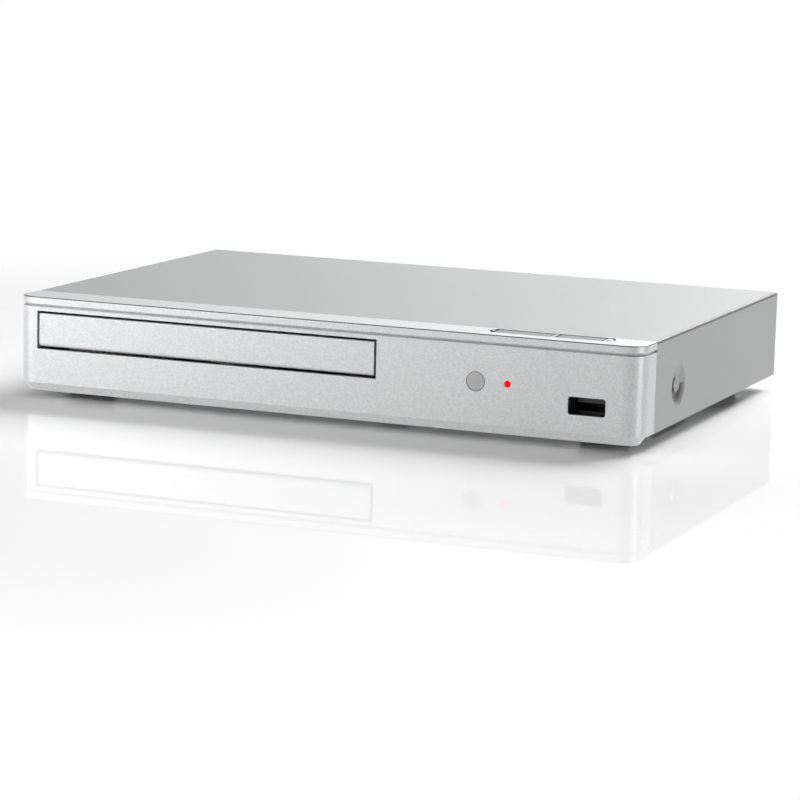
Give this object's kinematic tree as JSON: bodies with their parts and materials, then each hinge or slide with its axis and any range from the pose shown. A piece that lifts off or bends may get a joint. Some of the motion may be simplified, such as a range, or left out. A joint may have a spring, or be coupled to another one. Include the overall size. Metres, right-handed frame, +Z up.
{
  "type": "blu-ray player",
  "caption": "Low silver disc player with a folded sheet cover, a moulded front with a geared disc tray, push buttons on the top ledge and sockets on the rear panel.",
  "frame": {"origin": "on the surface the feet stand on, under the middle of the bounding box", "axes": "+X to the right seen from the front, +Y to the rear, +Z up"},
  "size_m": [0.245, 0.175, 0.0385],
  "materials": {
    "silver_plastic": "silver metallic paint, satin",
    "silver_door": "silver metallic paint, satin",
    "silver_cover": "silver paint, satin",
    "silver_buttons": "silver paint, satin",
    "zinc_steel": "zinc-plated sheet",
    "rear_black": "black paint, fine texture",
    "black_rubber": "matt",
    "screw_steel": "plated, slightly dull",
    "bright_screw": "nickel plated",
    "black_plastic": "fine grain",
    "grey_plastic": "fine grain",
    "ivory_plastic": "natural acetal, satin",
    "smoke_window": "smoked, glossy",
    "red_lens": "translucent red",
    "board_green": "solder mask",
    "board_tan": "bare laminate",
    "chip_black": "moulded epoxy",
    "bare_aluminium": "extruded",
    "can_sleeve": "shrink sleeve",
    "steel_rod": "ground and polished",
    "steel_sheet": "plated sheet",
    "motor_steel": "plated can",
    "brass_part": "turned",
    "magnet": "nickel plated magnet",
    "lens_glass": "coated lens",
    "socket_metal": "tin plated",
    "socket_white": "satin",
    "orange_socket": "satin",
    "ribbon": "flat ribbon, satin",
    "amber_tape": "tape over ferrite"
  },
  "bodies": {
    "case": {"front_panel": "silver_plastic", "top_cover": "silver_cover", "bottom_chassis": "zinc_steel", "rear_panel": "rear_black", "feet": "black_rubber", "side_screws": "bright_screw", "rear_screws": "screw_steel", "board_screws": "screw_steel", "loader_screws": "screw_steel", "bridge_screws": "screw_steel", "button_frame": "silver_plastic", "ir_window": "smoke_window", "led_lens": "red_lens", "ir_receiver": "chip_black", "power_led": "red_lens", "front_board": "board_tan", "tact_switches": "black_plastic", "usb_socket": "socket_metal", "usb_tongue": "socket_white", "loader_frame": "black_plastic", "loading_motor": "motor_steel", "drive_belt": "black_rubber", "clamp_bridge": "steel_sheet", "main_board": "board_green", "main_chip": "chip_black", "heat_sink": "bare_aluminium", "board_capacitors": "can_sleeve", "hdmi_socket": "socket_metal", "lan_socket": "socket_metal", "coax_socket": "orange_socket", "power_board": "board_tan", "transformer": "amber_tape", "mains_capacitors": "can_sleeve", "ac_inlet": "black_plastic", "inlet_pins": "socket_metal", "flat_cables": "ribbon"},
    "tray": {"disc_tray": "grey_plastic", "tray_door": "silver_door"},
    "tray_gear": {"tray_gear": "ivory_plastic"},
    "pulley_gear": {"pulley_gear": "ivory_plastic"},
    "motor_pulley": {"motor_pulley": "brass_part", "motor_shaft": "steel_rod"},
    "cam_slider": {"cam_slider": "ivory_plastic"},
    "traverse": {"lift_ring": "grey_plastic", "isolators": "black_rubber", "traverse_screws": "screw_steel", "traverse_plate": "steel_sheet", "guide_rods": "steel_rod", "spindle_motor": "motor_steel", "sled_motor": "motor_steel"},
    "turntable": {"spindle_rotor": "steel_sheet", "turntable": "black_plastic", "turntable_pad": "black_rubber"},
    "pickup": {"pickup_body": "bare_aluminium", "objective_lens": "lens_glass"},
    "lead_screw": {"lead_screw": "steel_rod"},
    "clamper": {"clamper": "ivory_plastic", "clamper_magnet": "magnet"},
    "power_button": {"power_button": "silver_buttons"},
    "open_close_button": {"open_close_button": "silver_buttons"}
  },
  "joints": [
    {"name": "tray_slide", "type": "slide", "parent": "case", "child": "tray", "axis": [0, -1, 0], "range_m": [0, 0.132]},
    {"name": "tray_gear_spin", "type": "hinge", "parent": "case", "child": "tray_gear", "pos_m": [-0.0945, -0.0627, 0.016], "axis": [0, 0, 1], "continuous": true},
    {"name": "pulley_gear_spin", "type": "hinge", "parent": "case", "child": "pulley_gear", "pos_m": [-0.0729, -0.0627, 0.016], "axis": [0, 0, 1], "continuous": true},
    {"name": "motor_pulley_spin", "type": "hinge", "parent": "case", "child": "motor_pulley", "pos_m": [-0.0399, -0.0642, 0.0236], "axis": [0, 0, 1], "continuous": true},
    {"name": "traverse_lower", "type": "hinge", "parent": "case", "child": "traverse", "pos_m": [-0.0455, 0.064, 0.0195], "axis": [1, 0, 0], "range_deg": [0, 4.02]},
    {"name": "cam_slide", "type": "slide", "parent": "case", "child": "cam_slider", "axis": [1, 0, 0], "range_m": [0, 0.02]},
    {"name": "turntable_spin", "type": "hinge", "parent": "traverse", "child": "turntable", "pos_m": [-0.0455, -0.0215, 0.0303], "axis": [0, 0, 1], "continuous": true},
    {"name": "clamper_spin", "type": "hinge", "parent": "case", "child": "clamper", "pos_m": [-0.0455, -0.0215, 0.034], "axis": [0, 0, 1], "continuous": true},
    {"name": "pickup_slide", "type": "slide", "parent": "traverse", "child": "pickup", "axis": [0, 1, 0], "range_m": [0, 0.034]},
    {"name": "lead_screw_spin", "type": "hinge", "parent": "traverse", "child": "lead_screw", "pos_m": [-0.015, 0, 0.0179], "axis": [0, 1, 0], "continuous": true},
    {"name": "power_button_press", "type": "slide", "parent": "case", "child": "power_button", "axis": [0, 0, -1], "range_m": [0, 0.0005], "stiffness_N_per_m": 400, "springref_m": -0.0004},
    {"name": "open_close_button_press", "type": "slide", "parent": "case", "child": "open_close_button", "axis": [0, 0, -1], "range_m": [0, 0.0005], "stiffness_N_per_m": 400, "springref_m": -0.0004}
  ],
  "couplings": [
    {"joint": "tray_gear_spin", "follows": "tray_slide", "rad_per_m": 178.57},
    {"joint": "pulley_gear_spin", "follows": "tray_slide", "rad_per_m": -510.2},
    {"joint": "motor_pulley_spin", "follows": "tray_slide", "rad_per_m": -1336.9},
    {"joint": "cam_slide", "follows": "traverse_lower", "m_per_rad": 0.285},
    {"joint": "clamper_spin", "follows": "turntable_spin", "ratio": 1},
    {"joint": "lead_screw_spin", "follows": "pickup_slide", "rad_per_m": 2094.4}
  ]
}
